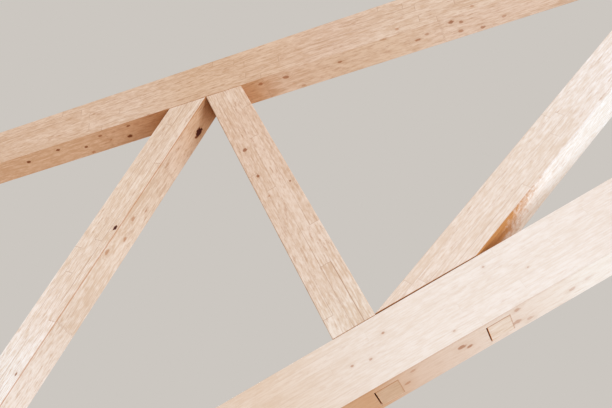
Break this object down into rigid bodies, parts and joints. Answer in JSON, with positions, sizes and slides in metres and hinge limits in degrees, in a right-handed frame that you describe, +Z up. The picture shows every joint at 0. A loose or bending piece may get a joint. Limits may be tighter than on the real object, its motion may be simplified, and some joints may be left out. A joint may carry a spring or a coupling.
{
  "type": "wooden roof truss",
  "caption": "Timber roof truss of glued laminated spruce: level bottom chord, pitched top chords meeting at the ridge, and posts and raking struts between them.",
  "frame": {"origin": "middle of the bottom chord's underside, below the ridge, at the middle of the members' thickness", "axes": "+X along the span, +Y through the thickness, +Z up. The face seen in the picture is the one at -Y"},
  "size_m": [13.5, 0.12, 2.7518],
  "materials": {
    "chord_glulam": "planed, untreated",
    "web_glulam": "planed, untreated",
    "plug_spruce": "planed, untreated"
  },
  "bodies": {
    "root": {"bottom_chord": "chord_glulam", "top_chord_left": "chord_glulam", "top_chord_right": "chord_glulam", "king_post": "web_glulam", "post_inner_left": "web_glulam", "post_inner_right": "web_glulam", "post_outer_left": "web_glulam", "post_outer_right": "web_glulam", "strut_inner_left": "web_glulam", "strut_inner_right": "web_glulam", "strut_outer_left": "web_glulam", "strut_outer_right": "web_glulam", "plug_under_king_post": "plug_spruce", "plug_under_post_inner_left": "plug_spruce", "plug_under_post_inner_right": "plug_spruce", "plug_under_post_outer_left": "plug_spruce", "plug_under_post_outer_right": "plug_spruce", "plug_under_strut_inner_left": "plug_spruce", "plug_under_strut_inner_right": "plug_spruce", "plug_under_strut_outer_left": "plug_spruce", "plug_under_strut_outer_right": "plug_spruce"}
  },
  "joints": []
}
